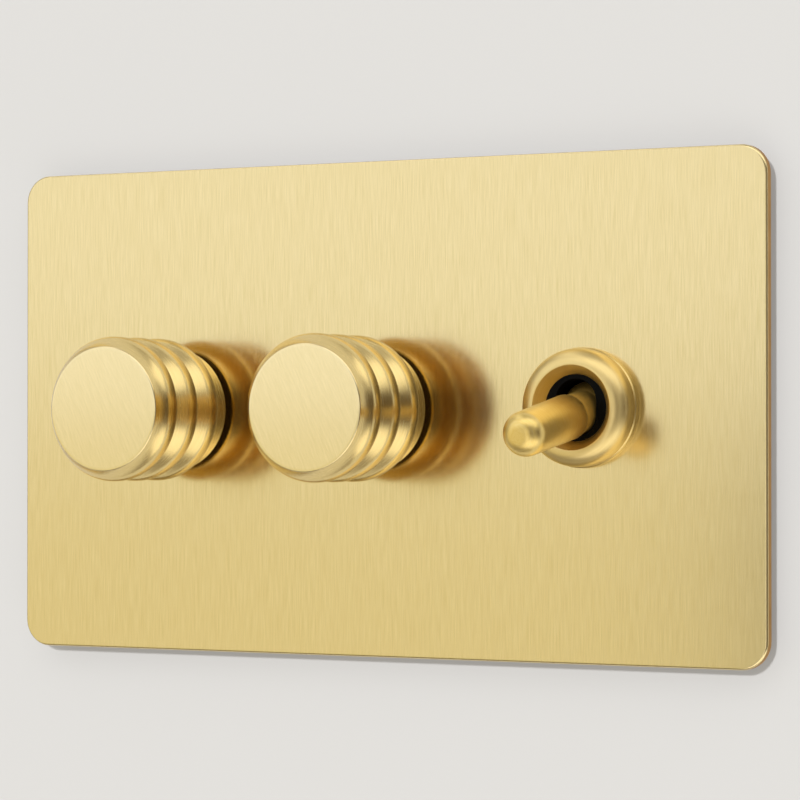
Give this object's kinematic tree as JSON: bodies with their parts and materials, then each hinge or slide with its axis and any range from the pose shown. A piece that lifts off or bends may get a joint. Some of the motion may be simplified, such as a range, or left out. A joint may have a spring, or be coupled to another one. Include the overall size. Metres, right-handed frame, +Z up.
{
  "type": "wall plate with dimmer knobs and a dolly switch",
  "caption": "Satin brass wall plate with push-and-turn dimmer knobs and a dolly switch in a round bezel, on a steel grid plate that carries the modules behind it.",
  "frame": {"origin": "on the wall, behind the middle of the front plate", "axes": "+X to the right as seen from the room, +Y into the wall, +Z up"},
  "size_m": [0.146, 0.0624, 0.086],
  "materials": {
    "brushed_brass": "satin brass sheet with a fine vertical brush",
    "turned_brass": "turned brass, satin with brighter edges",
    "plain_brass": "bright brass as machined",
    "plated_steel": "zinc-plated steel",
    "black_bush": "black finished bush",
    "black_moulding": "black moulded case plastic",
    "pale_nylon": "natural nylon",
    "aluminium": "mill-finish aluminium",
    "board_laminate": "green circuit laminate",
    "copper_winding": "enamelled copper winding on a core",
    "yellow_film": "boxed film capacitor",
    "black_epoxy": "moulded epoxy with a metal tab"
  },
  "bodies": {
    "plate_assembly": {"front_plate": "brushed_brass", "spacer_frame": "black_moulding", "grid_plate": "plated_steel", "earth_terminal": "plain_brass", "bush_nuts": "plated_steel", "lock_washers": "plated_steel", "terminal_screws": "plated_steel", "left_bush": "plain_brass", "left_heat_plate": "aluminium", "left_dimmer_case": "black_moulding", "left_back_cover": "black_moulding", "left_potentiometer_cup": "pale_nylon", "left_track_disc": "board_laminate", "left_push_switch": "black_moulding", "left_return_spring": "plated_steel", "left_circuit_board": "board_laminate", "left_choke": "copper_winding", "left_capacitor": "yellow_film", "left_triac": "black_epoxy", "left_terminals": "plain_brass", "middle_bush": "plain_brass", "middle_heat_plate": "aluminium", "middle_dimmer_case": "black_moulding", "middle_back_cover": "black_moulding", "middle_potentiometer_cup": "pale_nylon", "middle_track_disc": "board_laminate", "middle_push_switch": "black_moulding", "middle_return_spring": "plated_steel", "middle_circuit_board": "board_laminate", "middle_choke": "copper_winding", "middle_capacitor": "yellow_film", "middle_triac": "black_epoxy", "middle_terminals": "plain_brass", "bezel_ring": "turned_brass", "dolly_bush": "black_bush", "dolly_nut": "plated_steel", "pivot_pin": "plated_steel", "dolly_bracket": "plated_steel", "toggle_case": "black_moulding", "lower_terminal": "plain_brass", "common_terminal": "plain_brass", "upper_terminal": "plain_brass"},
    "rocker": {"contact_rocker": "plain_brass"},
    "dolly_lever": {"dolly": "turned_brass", "dolly_spring": "plated_steel", "dolly_plunger": "pale_nylon"},
    "left_knob_shaft": {"left_knob": "turned_brass", "left_knob_insert": "pale_nylon", "left_spindle": "plated_steel"},
    "left_plunger": {"left_push_plunger": "pale_nylon"},
    "left_wiper": {"left_wiper_rotor": "pale_nylon"},
    "middle_knob_shaft": {"middle_knob": "turned_brass", "middle_knob_insert": "pale_nylon", "middle_spindle": "plated_steel"},
    "middle_plunger": {"middle_push_plunger": "pale_nylon"},
    "middle_wiper": {"middle_wiper_rotor": "pale_nylon"}
  },
  "joints": [
    {"name": "left_push", "type": "slide", "parent": "plate_assembly", "child": "left_plunger", "axis": [0, 1, 0], "range_m": [0, 0.001], "stiffness_N_per_m": 2000, "springref_m": -0.001, "deforming": ["left_return_spring"]},
    {"name": "left_turn", "type": "hinge", "parent": "left_plunger", "child": "left_knob_shaft", "pos_m": [-0.04, 0, 0], "axis": [0, 1, 0], "range_deg": [0, 270]},
    {"name": "left_wiper_turn", "type": "hinge", "parent": "plate_assembly", "child": "left_wiper", "pos_m": [-0.04, 0, 0], "axis": [0, 1, 0], "range_deg": [0, 270]},
    {"name": "middle_push", "type": "slide", "parent": "plate_assembly", "child": "middle_plunger", "axis": [0, 1, 0], "range_m": [0, 0.001], "stiffness_N_per_m": 2000, "springref_m": -0.001, "deforming": ["middle_return_spring"]},
    {"name": "middle_turn", "type": "hinge", "parent": "middle_plunger", "child": "middle_knob_shaft", "pos_m": [0, 0, 0], "axis": [0, 1, 0], "range_deg": [0, 270]},
    {"name": "middle_wiper_turn", "type": "hinge", "parent": "plate_assembly", "child": "middle_wiper", "pos_m": [0, 0, 0], "axis": [0, 1, 0], "range_deg": [0, 270]},
    {"name": "dolly_tilt", "type": "hinge", "parent": "plate_assembly", "child": "dolly_lever", "pos_m": [0.04, -0.0024, 0], "axis": [-1, 0, 0], "range_deg": [0, 20]},
    {"name": "rocker_tilt", "type": "hinge", "parent": "plate_assembly", "child": "rocker", "pos_m": [0.04, 0.00953, 0], "axis": [-1, 0, 0], "range_deg": [-10, 0]}
  ],
  "couplings": [
    {"joint": "left_wiper_turn", "follows": "left_turn", "ratio": 1},
    {"joint": "middle_wiper_turn", "follows": "middle_turn", "ratio": 1},
    {"joint": "rocker_tilt", "follows": "dolly_tilt", "ratio": -0.5}
  ]
}
